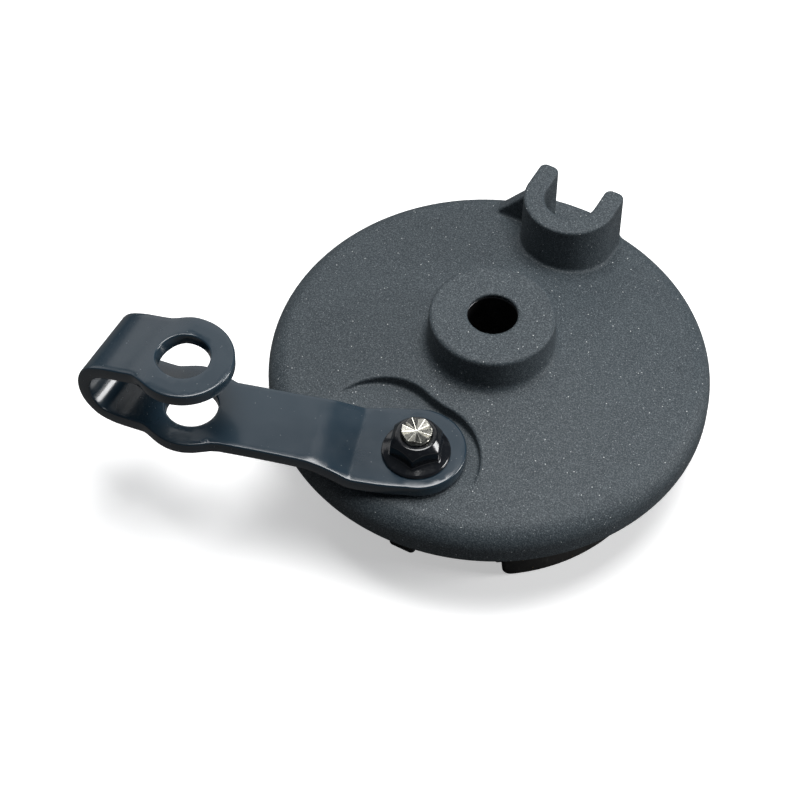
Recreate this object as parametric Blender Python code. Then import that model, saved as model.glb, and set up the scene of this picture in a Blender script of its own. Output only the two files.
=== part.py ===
"""Small drum-brake backing plate with cam lever, brake shoes and springs.

Frame: metres, +Z up along the wheel axle.  The origin is on the axle axis, in the plane of the
rim's open lower edge.  The torque fork and the shoe anchor lie on +Y, the cam spindle on -Y.
Dimensions below are written in millimetres and scaled once, when a mesh is made.
"""
import math

import bpy
import bmesh
from mathutils import Vector
from mathutils.geometry import delaunay_2d_cdt

MM = 0.001

# --- backing plate -------------------------------------------------------------------------
PLATE_R = 47.0
SHOULDER_ROUND = 4.4       # rounding between the cone and the rim wall
CONE_EDGE_R = 44.0         # the cone's height is given at this radius
CONE_EDGE_Z = 8.24
CONE_SLOPE = 0.18          # rise of the cone per millimetre towards the hub
SKIN = 3.0                 # wall thickness of the casting
RIM_INNER_R = 44.0
HUB_TOP_Z = 22.45
HUB_R = 13.3
HUB_FOOT_Z = -2.0          # inner hub face, against the wheel bearing
HUB_FOOT_R = 11.0
BORE_R = 5.3
SLEEVE_FOOT_Z = -2.5
SLEEVE_TOP_Z = 21.3
SLEEVE_R = 6.6

SPINDLE_XY = (0.0, -32.8)
ANCHOR_XY = (0.0, 32.8)
RECESS_FLOOR_Z = 9.75
RECESS_R = 13.1
RECESS_SWEEP_XY = (-10.3, -30.4)
RECESS_SWEEP_R = 13.0
BOSS_FOOT_Z = -2.2

FORK_XY = (0.1, 35.65)
FORK_TOP_Z = 23.6
FORK_R = 10.05
FORK_SLOT_R = 5.6
FORK_REACH = 6.5           # length of each prong past the arc's centre
PRONG_CORNER = 1.6
FORK_FLOOR_Z = 9.3         # level floor between the prongs
FORK_FLOOR_R = 46.2
FORK_FLOOR_HALF = 8.6

# --- lever ---------------------------------------------------------------------------------
LEVER_T = 3.0
LEVER_BOTTOM_Z = 10.05
LEVER_AZIMUTH = 197.0      # direction of the arm from the spindle, degrees
ARM_X = math.cos(math.radians(LEVER_AZIMUTH))
ARM_Y = math.sin(math.radians(LEVER_AZIMUTH))
END_R = 10.15
END_SHIFT = 0.95           # the round end's centre lies this far to the far side of the spindle
LOWER_EYE = (-45.2, -46.2)
UPPER_EYE = (-46.1, -46.5)
EYE_R = 10.4
EYE_HOLE_R = 5.45
STRIP_Y = -46.7            # centre line of the folded strip
STRIP_HALF = 8.4
# Edges of the arm as (distance from the spindle, distance from the arm's line).
NEAR_EDGE = [(0.0, 9.2), (4.0, 9.75), (8.0, 10.0), (12.0, 10.0), (16.0, 9.3), (22.0, 8.6),
             (30.0, 8.3), (38.0, 8.2), (50.0, 8.2)]
FAR_EDGE = [(0.0, 11.1), (5.0, 10.3), (10.0, 9.35), (13.0, 8.75), (17.0, 8.4), (22.0, 8.0),
            (30.0, 8.0), (38.0, 8.1), (50.0, 8.1)]
JOGGLE_RISE = 2.0
JOGGLE_FROM = 12.2
JOGGLE_TO = 20.0

# --- shoes, springs, cam ---------------------------------------------------------------------
SHOE_Z = (-18.4, -1.4)
WEB_Z = (-11.9, -7.9)
HEEL_Z = (-15.9, -3.9)
TOE_Z = (-12.4, -7.4)
CAM_Z = (-14.6, -2.5)
LINING_R = 38.0
TABLE_R = 34.9
TABLE_INNER_R = 32.3
LINING_SPAN = (-57.0, 60.0)     # lining ends as angles from +X, on the +X shoe
CAM_HALF_T = 3.0
CAM_HALF_W = 6.0
PAD_FACE_X = 3.35
PAD_T = 1.0
PIN_R = 4.0
SPRING_Y = (20.6, -20.6)        # anchor side, cam side
SPRING_HOLE_X = 18.6
NUT_FLATS = 10.0
NUT_PHASE = 50.0           # direction of one corner of the hexagon, degrees


def clear_scene():
    for obj in list(bpy.data.objects):
        bpy.data.objects.remove(obj, do_unlink=True)


def material(name, colour, metallic, roughness):
    mat = bpy.data.materials.new(name)
    mat.use_nodes = True
    shader = mat.node_tree.nodes["Principled BSDF"]
    shader.inputs["Base Color"].default_value = (*colour, 1.0)
    shader.inputs["Metallic"].default_value = metallic
    shader.inputs["Roughness"].default_value = roughness
    return mat


# --- mesh helpers ----------------------------------------------------------------------------
def mesh_object(name, verts, faces):
    """Object from millimetre vertices; faces are turned to point outwards."""
    mesh = bpy.data.meshes.new(name)
    mesh.from_pydata([Vector(v) * MM for v in verts], [], faces)
    bm = bmesh.new()
    bm.from_mesh(mesh)
    bmesh.ops.recalc_face_normals(bm, faces=bm.faces)
    bm.to_mesh(mesh)
    bm.free()
    obj = bpy.data.objects.new(name, mesh)
    bpy.context.scene.collection.objects.link(obj)
    return obj


def lathe(name, profile, centre=(0.0, 0.0), segments=72):
    """Turn a closed (radius, z) loop about a vertical axis; radius 0 gives a single pole vertex."""
    verts = []
    rings = []
    for r, z in profile:
        if r < 1e-6:
            rings.append([len(verts)] * segments)
            verts.append((centre[0], centre[1], z))
            continue
        rings.append(list(range(len(verts), len(verts) + segments)))
        for k in range(segments):
            a = 2.0 * math.pi * k / segments
            verts.append((centre[0] + r * math.cos(a), centre[1] + r * math.sin(a), z))
    faces = []
    for i, ring in enumerate(rings):
        other = rings[(i + 1) % len(rings)]
        for k in range(segments):
            j = (k + 1) % segments
            loop = [ring[k], ring[j], other[j], other[k]]
            loop = [v for n, v in enumerate(loop) if v not in loop[:n]]
            if len(loop) > 2:
                faces.append(loop)
    return mesh_object(name, verts, faces)


def loft(name, levels):
    """Solid through a stack of (z, outline) levels; every outline has the same point count."""
    verts = []
    for z, outline in levels:
        verts.extend((x, y, z) for x, y in outline)
    n = len(levels[0][1])
    faces = [list(range(n)), list(range((len(levels) - 1) * n, len(levels) * n))]
    for i in range(len(levels) - 1):
        for k in range(n):
            j = (k + 1) % n
            faces.append([i * n + k, i * n + j, (i + 1) * n + j, (i + 1) * n + k])
    return mesh_object(name, verts, faces)


def prism(name, outline, z_low, z_high):
    return loft(name, [(z_low, outline), (z_high, outline)])


def arc(centre, radius, start, end, steps):
    """Points on an arc, angles in degrees, both ends included."""
    points = []
    for k in range(steps + 1):
        a = math.radians(start + (end - start) * k / steps)
        points.append((centre[0] + radius * math.cos(a), centre[1] + radius * math.sin(a)))
    return points


def circle(centre, radius, steps=48):
    return arc(centre, radius, 0.0, 360.0, steps)[:-1]


def boolean(target, cutter, operation):
    """Apply an exact boolean to target's mesh and remove the cutter."""
    modifier = target.modifiers.new("cut", "BOOLEAN")
    modifier.object = cutter
    modifier.operation = operation
    modifier.solver = "EXACT"
    bpy.context.view_layer.update()
    graph = bpy.context.evaluated_depsgraph_get()
    mesh = bpy.data.meshes.new_from_object(target.evaluated_get(graph))
    target.modifiers.clear()
    target.data = mesh
    bpy.data.objects.remove(cutter, do_unlink=True)


def finish(obj, mat, angle=35.0):
    bm = bmesh.new()
    bm.from_mesh(obj.data)
    bmesh.ops.remove_doubles(bm, verts=bm.verts, dist=1e-6)
    bmesh.ops.dissolve_degenerate(bm, edges=bm.edges, dist=1e-6)
    bmesh.ops.triangulate(bm, faces=bm.faces)
    bm.to_mesh(obj.data)
    bm.free()
    obj.data.materials.clear()
    obj.data.materials.append(mat)
    obj.data.shade_smooth()
    obj.data.set_sharp_from_angle(angle=math.radians(angle))
    return obj


def tube(name, path, radius, sides=6):
    """Closed round bar swept along a list of 3-D points, with flat ends."""
    points = [Vector(p) for p in path]
    verts = []
    side = None
    for i, p in enumerate(points):
        tangent = (points[min(i + 1, len(points) - 1)] - points[max(i - 1, 0)]).normalized()
        if side is None:
            side = tangent.cross(Vector((1.0, 0.0, 0.0))).normalized()
        side = (side - tangent * side.dot(tangent)).normalized()
        up = tangent.cross(side)
        for k in range(sides):
            a = 2.0 * math.pi * k / sides
            verts.append(p + radius * (math.cos(a) * side + math.sin(a) * up))
    last = (len(points) - 1) * sides
    faces = [list(range(sides)), list(range(last, last + sides))]
    for i in range(len(points) - 1):
        for k in range(sides):
            j = (k + 1) % sides
            a, b = i * sides, (i + 1) * sides
            faces.append([a + k, a + j, b + j, b + k])
    return mesh_object(name, verts, faces)


# --- backing plate -------------------------------------------------------------------------
def cone_z(r):
    return CONE_EDGE_Z + CONE_SLOPE * (CONE_EDGE_R - r)


def plate_profile():
    """Closed section of the plain casting, from the bore's top edge round and back."""
    top = [(BORE_R, 22.1), (BORE_R + 0.35, HUB_TOP_Z), (12.2, HUB_TOP_Z)]
    top += [(12.2 + 1.1 * math.sin(a), 21.35 + 1.1 * math.cos(a)) for a in (0.5, 1.0, 1.57)]
    top += [(13.4, 18.0), (13.7, 16.0), (14.2, 14.7), (15.2, 13.8), (16.8, cone_z(16.8) + 0.12)]
    top += [(r, cone_z(r)) for r in (19.0, 31.0)]
    tilt = math.atan(CONE_SLOPE)
    cx = PLATE_R - SHOULDER_ROUND
    touch = cx + SHOULDER_ROUND * math.sin(tilt)
    cz = cone_z(touch) - SHOULDER_ROUND * math.cos(tilt)
    angles = [tilt + (math.pi / 2.0 - tilt) * k / 4.0 for k in range(5)]
    shoulder = [(cx + SHOULDER_ROUND * math.sin(a), cz + SHOULDER_ROUND * math.cos(a))
                for a in angles]
    rim = [(PLATE_R, 0.5), (46.5, 0.0), (44.5, 0.0), (RIM_INNER_R, 0.5)]
    under = [(RIM_INNER_R, 3.6), (43.4, 4.9), (42.0, 5.6)]
    under += [(r, cone_z(r) - SKIN) for r in (40.0, 28.0, 14.0)]
    foot = [(12.0, 10.6), (11.2, 9.4), (HUB_FOOT_R, HUB_FOOT_Z + 0.5),
            (HUB_FOOT_R - 0.5, HUB_FOOT_Z)]
    bore = [(SLEEVE_R + 0.4, HUB_FOOT_Z), (SLEEVE_R, HUB_FOOT_Z + 0.4), (SLEEVE_R, SLEEVE_TOP_Z + 0.1),
            (BORE_R, SLEEVE_TOP_Z + 0.1)]
    return top + shoulder + rim + under + foot + bore


def fork_outline(grow):
    """U outline with square, round-cornered tips, open towards +Y, grown everywhere by grow."""
    cx, cy = FORK_XY
    outer = FORK_R + grow
    inner = FORK_SLOT_R - grow
    corner = PRONG_CORNER + grow
    tip_y = cy + FORK_REACH - PRONG_CORNER
    points = arc((cx, cy), outer, 180.0, 360.0, 28)
    points += arc((cx + outer - corner, tip_y), corner, 0.0, 90.0, 5)
    points += arc((cx + inner + corner, tip_y), corner, 90.0, 180.0, 5)
    points += arc((cx, cy), inner, 360.0, 180.0, 20)
    points += arc((cx - inner - corner, tip_y), corner, 0.0, 90.0, 5)
    points += arc((cx - outer + corner, tip_y), corner, 90.0, 180.0, 5)
    return points


def recess_outline(grow):
    """Union of the spindle's round recess and the clearance for the lever's swing."""
    ax, ay = SPINDLE_XY
    bx, by = RECESS_SWEEP_XY
    ra, rb = RECESS_R + grow, RECESS_SWEEP_R + grow
    d = math.hypot(bx - ax, by - ay)
    base = math.degrees(math.atan2(by - ay, bx - ax))
    open_a = math.degrees(math.acos((ra * ra + d * d - rb * rb) / (2.0 * ra * d)))
    open_b = math.degrees(math.acos((rb * rb + d * d - ra * ra) / (2.0 * rb * d)))
    points = arc((ax, ay), ra, base + open_a, base + 360.0 - open_a, 40)
    points += arc((bx, by), rb, base - 180.0 + open_b, base + 180.0 - open_b, 28)[1:-1]
    return points


def boss(name, centre, foot_r, top_r, top_z):
    """Tapered round boss under the plate, with a small edge break at its foot."""
    return loft(name, [(BOSS_FOOT_Z, circle(centre, foot_r)),
                       (BOSS_FOOT_Z + 0.4, circle(centre, foot_r + 0.4)),
                       (top_z, circle(centre, top_r))])


def recess_backing():
    """Thicker wall under the spindle recess, kept just inside the cone's outer surface."""
    pad = loft("pad", [(6.7, recess_outline(1.6)), (12.0, recess_outline(2.4))])
    under_skin = [(0.0, 4.0), (43.0, 4.0), (43.0, cone_z(43.0) - 0.6), (12.0, cone_z(12.0) - 0.6),
                  (0.0, cone_z(12.0) - 0.6)]
    boolean(pad, lathe("envelope", under_skin), "INTERSECT")
    return pad


def fork():
    """U-shaped fork that takes the reaction of the brake's torque."""
    return loft("fork", [(7.4, fork_outline(0.5)), (10.4, fork_outline(0.35)),
                         (11.6, fork_outline(0.0)), (22.9, fork_outline(0.0)),
                         (23.4, fork_outline(-0.25)), (FORK_TOP_Z, fork_outline(-0.7))])


def fork_floor():
    """Level floor between the prongs, out to the shoulder."""
    half = FORK_FLOOR_HALF
    outline = [(x, math.sqrt(FORK_FLOOR_R ** 2 - x * x))
               for x in (half, half / 2.0, 0.0, -half / 2.0, -half)]
    outline += [(-half, 34.0), (half, 34.0)]
    lip = [(x * 0.97, 34.0 + (y - 34.0) * 0.95) for x, y in outline]
    return loft("fork_floor", [(6.5, outline), (FORK_FLOOR_Z - 0.6, outline), (FORK_FLOOR_Z, lip)])


def gusset():
    """Triangular rib from the cone up the fork's left side."""
    corners = [(-17.9, 7.9), (-8.6, 7.9), (-8.6, 19.9), (-9.7, 19.3)]
    verts = [(x, y, z) for y in (35.9, 39.7) for x, z in corners]
    faces = [(0, 1, 2, 3), (4, 5, 6, 7), (0, 1, 5, 4), (1, 2, 6, 5), (2, 3, 7, 6), (3, 0, 4, 7)]
    return mesh_object("gusset", verts, faces)


def spindle_hole():
    """Stepped hole from below: bush, seal seat, washer seat."""
    steps = [(0.0, -4.0), (5.2, -4.0), (5.2, 7.0), (5.8, 7.0), (5.8, 8.75), (7.2, 8.75),
             (7.2, 12.0), (0.0, 12.0)]
    return lathe("spindle_hole", steps, SPINDLE_XY, 48)


def pin_hole():
    steps = [(0.0, -4.0), (PIN_R + 0.05, -4.0), (PIN_R + 0.05, 4.6), (0.0, 4.6)]
    return lathe("pin_hole", steps, ANCHOR_XY, 48)


def build_plate(mat):
    plate = lathe("backing_plate", plate_profile())
    boolean(plate, recess_backing(), "UNION")
    boolean(plate, boss("cam_boss", SPINDLE_XY, 7.6, 8.6, 7.4), "UNION")
    boolean(plate, boss("anchor_boss", ANCHOR_XY, 7.0, 8.2, 7.0), "UNION")
    boolean(plate, fork(), "UNION")
    boolean(plate, fork_floor(), "UNION")
    boolean(plate, gusset(), "UNION")
    recess = loft("recess", [(RECESS_FLOOR_Z, recess_outline(-0.15)), (14.0, recess_outline(0.45))])
    boolean(plate, recess, "DIFFERENCE")
    boolean(plate, spindle_hole(), "DIFFERENCE")
    boolean(plate, pin_hole(), "DIFFERENCE")
    return finish(plate, mat)


# --- lever ---------------------------------------------------------------------------------
# Mid-thickness line of the return fold, (x, z), from the lower arm round to the upper eye.
FOLD_LINE = [(-48.0, 13.55), (-51.0, 13.3), (-55.0, 12.4), (-59.0, 11.7), (-62.2, 12.1),
             (-64.5, 14.2), (-65.5, 17.2), (-65.2, 20.6), (-63.6, 23.5), (-60.2, 25.6),
             (-56.0, 27.2), (-52.4, 28.6), (-49.4, 29.3), (-46.0, 29.3), (-34.0, 29.3)]


def spline(points, steps):
    """Catmull-Rom curve through points."""
    ends = [points[0]] + list(points) + [points[-1]]
    curve = []
    for i in range(1, len(ends) - 2):
        p0, p1, p2, p3 = ends[i - 1], ends[i], ends[i + 1], ends[i + 2]
        for k in range(steps):
            t = k / steps
            curve.append(tuple(0.5 * (2 * b + (c - a) * t + (2 * a - 5 * b + 4 * c - d) * t * t
                                      + (3 * b - a - 3 * c + d) * t ** 3)
                               for a, b, c, d in zip(p0, p1, p2, p3)))
    curve.append(points[-1])
    return curve


class Fold:
    """Arc-length look-up along the fold's mid line."""

    def __init__(self):
        self.points = spline(FOLD_LINE, 8)
        self.length = [0.0]
        for a, b in zip(self.points, self.points[1:]):
            self.length.append(self.length[-1] + math.dist(a, b))

    def at(self, s):
        s = min(max(s, 0.0), self.length[-1])
        i = 1
        while i < len(self.length) - 1 and self.length[i] < s:
            i += 1
        t = (s - self.length[i - 1]) / (self.length[i] - self.length[i - 1])
        (ax, az), (bx, bz) = self.points[i - 1], self.points[i]
        return ax + (bx - ax) * t, az + (bz - az) * t

    def frame(self, s):
        """Point on the mid line and its normal (to the left of travel, so outside-down)."""
        x, z = self.at(s)
        ax, az = self.at(s - 0.6)
        bx, bz = self.at(s + 0.6)
        d = math.hypot(bx - ax, bz - az)
        return x, z, -(bz - az) / d, (bx - ax) / d

    def s_of_eye(self, x):
        """Arc length at which the upper, returning leaf is back at the given x."""
        for i in range(len(self.points) - 1, 0, -1):
            (ax, _), (bx, _) = self.points[i - 1], self.points[i]
            if ax <= x <= bx:
                part = (x - ax) / (bx - ax)
                return self.length[i - 1] + part * (self.length[i] - self.length[i - 1])
        return self.length[-1]


def smoothstep(t):
    t = min(max(t, 0.0), 1.0)
    return t * t * (3.0 - 2.0 * t)


def wider(a, b, soft=1.25):
    """Smooth maximum of two half-widths."""
    h = max(soft - abs(a - b), 0.0) / soft
    return max(a, b) + h * h * soft / 4.0


def arm_point(d, w):
    """Point at distance d along the arm and w to its near side."""
    return SPINDLE_XY[0] + ARM_X * d - ARM_Y * w, SPINDLE_XY[1] + ARM_Y * d + ARM_X * w


def arm_side(side, edge, stop):
    """Edge of the arm from the spindle towards the lower eye; side is +1 near, -1 far."""
    ex, ey = LOWER_EYE[0] - SPINDLE_XY[0], LOWER_EYE[1] - SPINDLE_XY[1]
    eye_d = ex * ARM_X + ey * ARM_Y
    eye_w = ey * ARM_X - ex * ARM_Y
    points = []
    for d, w in spline(edge, 3):
        if eye_d + stop - 0.8 < d:
            break
        round_part = side * eye_w + math.sqrt(max(EYE_R ** 2 - (d - eye_d) ** 2, 0.0))
        points.append(arm_point(d, side * wider(w, round_part)))
    last = side * eye_w + math.sqrt(EYE_R ** 2 - stop ** 2)
    return points + [arm_point(eye_d + stop, side * last)]


def strip_side(eye, side, start, end):
    """Edge of the strip beside an eye, from x = start to x = end; side is +1 far, -1 near."""
    points = []
    steps = max(int(abs(end - start) / 1.7), 4)
    for k in range(steps + 1):
        x = start + (end - start) * k / steps
        rise = math.sqrt(max(EYE_R ** 2 - (x - eye[0]) ** 2, 0.0))
        round_part = side * (eye[1] - STRIP_Y) + rise
        points.append((x, STRIP_Y + side * wider(STRIP_HALF, round_part)))
    return points


def upper_eye(fold):
    """Centre of the upper eye in the flat blank, where -X runs on as the fold's arc length."""
    return FOLD_LINE[0][0] - fold.s_of_eye(UPPER_EYE[0]), UPPER_EYE[1]


def lever_blank(top):
    """Flat outline of the lever; top is the upper eye's centre."""
    trim = EYE_R * math.sin(math.radians(LEVER_AZIMUTH - 180.0) / 2.0)
    middle = (LOWER_EYE[0] + top[0]) / 2.0
    outline = arc(arm_point(0.0, -END_SHIFT), END_R, LEVER_AZIMUTH + 98.0, LEVER_AZIMUTH + 262.0, 18)
    outline += arm_side(-1, FAR_EDGE, -trim)[1:]
    outline += strip_side(LOWER_EYE, 1, LOWER_EYE[0] - trim, middle)[1:]
    outline += strip_side(top, 1, middle, top[0])[1:-1]
    outline += arc(top, EYE_R, 90.0, 270.0, 22)
    outline += strip_side(top, -1, top[0], middle)[1:]
    outline += strip_side(LOWER_EYE, -1, middle, LOWER_EYE[0])[1:]
    outline += arc(LOWER_EYE, EYE_R, 270.0, LEVER_AZIMUTH + 90.0, 3)[1:-1]
    outline += reversed(arm_side(1, NEAR_EDGE, 0.0)[1:])
    return outline


def bend_points(top):
    """Points across the blank where the joggle and the fold bend it."""
    points = []
    for k in range(5):
        d = JOGGLE_FROM + (JOGGLE_TO - JOGGLE_FROM) * k / 4.0
        points += [Vector(arm_point(d, w)) for w in (-6.0, -2.0, 2.0, 6.0)]
    x = FOLD_LINE[0][0]
    while x > top[0] + 6.5:
        if abs(x - LOWER_EYE[0]) > EYE_HOLE_R + 0.8:
            points += [Vector((x, STRIP_Y + w)) for w in (-5.0, 0.0, 5.0)]
        x -= 1.6
    return points


def inside(point, loop):
    hit = False
    for (ax, ay), (bx, by) in zip(loop, loop[1:] + loop[:1]):
        crosses = (ay > point[1]) != (by > point[1])
        if crosses and point[0] < (bx - ax) * (point[1] - ay) / (by - ay) + ax:
            hit = not hit
    return hit


def cut_blank(outline, holes, extra):
    """Triangulated sheet inside the outline and outside the holes: points and faces."""
    points = []
    edges = []
    for loop in [outline] + holes:
        first = len(points)
        points.extend(Vector(p) for p in loop)
        edges.extend((first + k, first + (k + 1) % len(loop)) for k in range(len(loop)))
    flat, _, faces, _, _, _ = delaunay_2d_cdt(points + extra, edges, [], 0, 1e-5)
    kept = []
    for face in faces:
        c = sum((flat[i] for i in face), Vector((0.0, 0.0))) / len(face)
        if inside(c, outline) and not any(inside(c, hole) for hole in holes):
            kept.append(face)
    used = sorted({i for face in kept for i in face})
    index = {v: k for k, v in enumerate(used)}
    return [flat[i] for i in used], [[index[i] for i in face] for face in kept]


def bent(p, fold, side):
    """Place a blank point in space; side is -1 for the lower skin, +1 for the upper."""
    half = side * LEVER_T / 2.0
    if p[0] < FOLD_LINE[0][0]:
        x, z, nx, nz = fold.frame(FOLD_LINE[0][0] - p[0])
        return x - nx * half, p[1], z - nz * half
    d = (p[0] - SPINDLE_XY[0]) * ARM_X + (p[1] - SPINDLE_XY[1]) * ARM_Y
    t = (d - JOGGLE_FROM) / (JOGGLE_TO - JOGGLE_FROM)
    slope = 0.0
    if 0.0 < t < 1.0:
        slope = JOGGLE_RISE * 6.0 * t * (1.0 - t) / (JOGGLE_TO - JOGGLE_FROM)
    n = math.sqrt(1.0 + slope * slope)
    z = LEVER_BOTTOM_Z + LEVER_T / 2.0 + JOGGLE_RISE * smoothstep(t)
    return p[0] - ARM_X * slope / n * half, p[1] - ARM_Y * slope / n * half, z + half / n


def build_lever(mat):
    fold = Fold()
    top = upper_eye(fold)
    holes = [circle(SPINDLE_XY, 3.7, 24), circle(LOWER_EYE, EYE_HOLE_R, 28),
             circle(top, EYE_HOLE_R, 28)]
    flat, sheet = cut_blank(lever_blank(top), holes, bend_points(top))
    verts = [bent(p, fold, side) for side in (-1.0, 1.0) for p in flat]
    n = len(flat)
    faces = sheet + [[i + n for i in reversed(face)] for face in sheet]
    borders = {(a, b) for face in sheet for a, b in zip(face, face[1:] + face[:1])}
    faces += [[b, a, a + n, b + n] for a, b in sorted(borders) if (b, a) not in borders]
    return finish(mesh_object("lever_arm", verts, faces), mat)


# --- cam spindle, nut and small rings --------------------------------------------------------
def build_spindle(mat):
    body = [(0.0, -2.65), (3.95, -2.65), (3.95, 9.85), (3.5, 9.95), (3.5, 12.7), (2.85, 13.0),
            (2.85, 19.3), (2.95, 19.7), (3.05, 20.1), (2.7, 20.5), (0.0, 20.5)]
    spindle = lathe("cam_spindle", body, SPINDLE_XY, 48)
    cx, cy = SPINDLE_XY
    t, w, r = CAM_HALF_T, CAM_HALF_W, 1.0
    cam = []
    for sx, sy, start in ((1, 1, 0.0), (-1, 1, 90.0), (-1, -1, 180.0), (1, -1, 270.0)):
        cam += arc((cx + sx * (t - r), cy + sy * (w - r)), r, start, start + 90.0, 5)
    boolean(spindle, prism("cam", cam, *CAM_Z), "UNION")
    return finish(spindle, mat)


def build_nut(mat):
    flange = [(0.0, 13.1), (6.6, 13.1), (7.1, 13.35), (7.1, 13.7), (6.2, 14.3), (5.0, 14.9),
              (0.0, 14.9)]
    nut = lathe("flange_nut", flange, SPINDLE_XY, 48)
    across = NUT_FLATS / math.sqrt(3.0)
    hexagon = arc(SPINDLE_XY, across, NUT_PHASE, NUT_PHASE + 300.0, 5)
    head = prism("hexagon", hexagon, 13.4, 19.1)
    chamfer = [(0.0, 13.0), (6.5, 13.0), (6.5, 18.2), (5.0, 19.1), (0.0, 19.1)]
    boolean(head, lathe("chamfer", chamfer, SPINDLE_XY, 48), "INTERSECT")
    boolean(nut, head, "UNION")
    hole = [(0.0, 12.0), (3.15, 12.0), (3.15, 21.0), (0.0, 21.0)]
    boolean(nut, lathe("thread_hole", hole, SPINDLE_XY, 48), "DIFFERENCE")
    return finish(nut, mat, 25.0)


def ring(name, mat, centre, r_inner, r_outer, z_low, z_high, segments=48):
    """Plain ring."""
    profile = [(r_inner, z_low), (r_outer, z_low), (r_outer, z_high), (r_inner, z_high)]
    return finish(lathe(name, profile, centre, segments), mat)


def build_sleeve(mat):
    """Axle sleeve pressed into the hub, with its outer edges broken."""
    r, low, high, e = SLEEVE_R - 0.05, SLEEVE_FOOT_Z, SLEEVE_TOP_Z, 0.3
    profile = [(BORE_R, low), (r - e, low), (r, low + e), (r, high - e), (r - e, high), (BORE_R, high)]
    return finish(lathe("axle_sleeve", profile, segments=64), mat)


def build_o_ring(mat):
    profile = [(4.85 + 0.78 * math.cos(a), 7.9 + 0.78 * math.sin(a))
               for a in (2.0 * math.pi * k / 12 for k in range(12))]
    return finish(lathe("spindle_o_ring", profile, SPINDLE_XY, 32), mat)


# --- anchor ----------------------------------------------------------------------------------
def build_anchor_pin(mat):
    profile = [(0.0, -18.1), (3.6, -18.1), (PIN_R, -17.7), (PIN_R, -17.3), (3.1, -17.3),
               (3.1, -16.55), (PIN_R, -16.55), (PIN_R, 4.2), (3.6, 4.5), (0.0, 4.5)]
    return finish(lathe("anchor_pin", profile, ANCHOR_XY, 48), mat)


def build_clip(mat):
    """E-clip in the pin's groove: an open ring with three inward lugs."""
    cx, cy = ANCHOR_XY
    points = arc((cx, cy), 6.6, 40.0, 320.0, 32) + [(cx + 3.9, cy - 2.4)]
    lugs = ((318.0, 292.0), (196.0, 164.0), (68.0, 42.0))
    for n, (start, end) in enumerate(lugs):
        points += arc((cx, cy), 3.2, start, end, 4)
        if n + 1 < len(lugs):
            points += arc((cx, cy), 4.7, end - 8.0, lugs[n + 1][0] + 8.0, 10)
    points += [(cx + 3.9, cy + 2.4)]
    return finish(prism("anchor_clip", points, -17.2, -16.65), mat)


# --- shoes -----------------------------------------------------------------------------------
def mirror(points, side):
    return [(side * x, y) for x, y in points]


def arc_band(r_inner, r_outer, start, end, steps=40):
    outer = arc((0.0, 0.0), r_outer, start, end, steps)
    return outer + arc((0.0, 0.0), r_inner, end, start, steps)


def web_outline():
    """Web of the +X shoe, heel at the anchor pin to toe at the cam."""
    ax, ay = ANCHOR_XY
    toe_x = PAD_FACE_X + PAD_T + 0.05
    points = arc((0.0, 0.0), 33.6, -62.0, 66.0, 36)
    points += [(9.5, 37.6), (6.5, 39.6), (3.0, 40.3), (0.55, 40.2), (0.55, ay + 4.3)]
    points += arc((ax, ay), 4.3, 82.6, -82.6, 14)
    points += [(0.55, ay - 4.3), (0.55, 24.9), (3.0, 24.6), (6.0, 24.8)]
    points += arc((0.0, 0.0), 24.6, 68.0, -64.0, 28)
    points += [(8.0, -26.6), (6.6, -26.9), (toe_x, -27.1), (toe_x, -36.9), (6.4, -37.3), (9.6, -36.2)]
    return points


def build_shoe(name, side, mat):
    ax, ay = ANCHOR_XY
    toe_x = PAD_FACE_X + PAD_T + 0.05
    shoe = prism(name, mirror(web_outline(), side), *WEB_Z)
    heel = arc((ax, ay), 8.2, 78.0, -78.0, 18) + [(0.55, ay - 8.0), (0.55, ay - 4.3)]
    heel += arc((ax, ay), 4.3, -82.6, 82.6, 14) + [(0.55, ay + 4.3), (0.55, ay + 8.0)]
    boolean(shoe, prism("heel", mirror(heel, side), *HEEL_Z), "UNION")
    toe = [(toe_x, -36.8), (8.0, -36.6), (9.8, -35.6), (9.8, -29.6), (8.4, -27.6), (toe_x, -27.2)]
    boolean(shoe, prism("toe", mirror(toe, side), *TOE_Z), "UNION")
    table = arc_band(TABLE_INNER_R, TABLE_R, LINING_SPAN[0] - 2.0, LINING_SPAN[1] + 2.0)
    boolean(shoe, prism("table", mirror(table, side), *SHOE_Z), "UNION")
    for y in SPRING_Y:
        hole = circle((side * SPRING_HOLE_X, y), 1.8, 20)
        boolean(shoe, prism("spring_hole", hole, -13.0, -6.0), "DIFFERENCE")
    return finish(shoe, mat)


def build_lining(name, side, mat):
    outline = arc_band(TABLE_R + 0.06, LINING_R, *LINING_SPAN, steps=44)
    inset = arc_band(TABLE_R + 0.06, LINING_R - 0.6, *LINING_SPAN, steps=44)
    z_low, z_high = SHOE_Z
    levels = [(z_low, mirror(inset, side)), (z_low + 0.5, mirror(outline, side)),
              (z_high - 0.5, mirror(outline, side)), (z_high, mirror(inset, side))]
    return finish(loft(name, levels), mat)


def build_pad(name, side, mat):
    """Steel wear cap over the toe: a channel with its flat back towards the cam."""
    z_low, z_high = TOE_Z
    inner = PAD_FACE_X + PAD_T
    outline = [(PAD_FACE_X, -36.9), (inner, -36.9), (inner, -27.3), (PAD_FACE_X, -27.3)]
    pad = prism(name, mirror(outline, side), z_low - 1.1, z_high + 1.1)
    for z in (z_low - 1.1, z_high + 0.1):
        leg = [(PAD_FACE_X + 0.2, -36.7), (8.2, -36.2), (8.2, -29.2), (PAD_FACE_X + 0.2, -27.6)]
        boolean(pad, prism("leg", mirror(leg, side), z, z + 1.0), "UNION")
    return finish(pad, mat)


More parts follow.
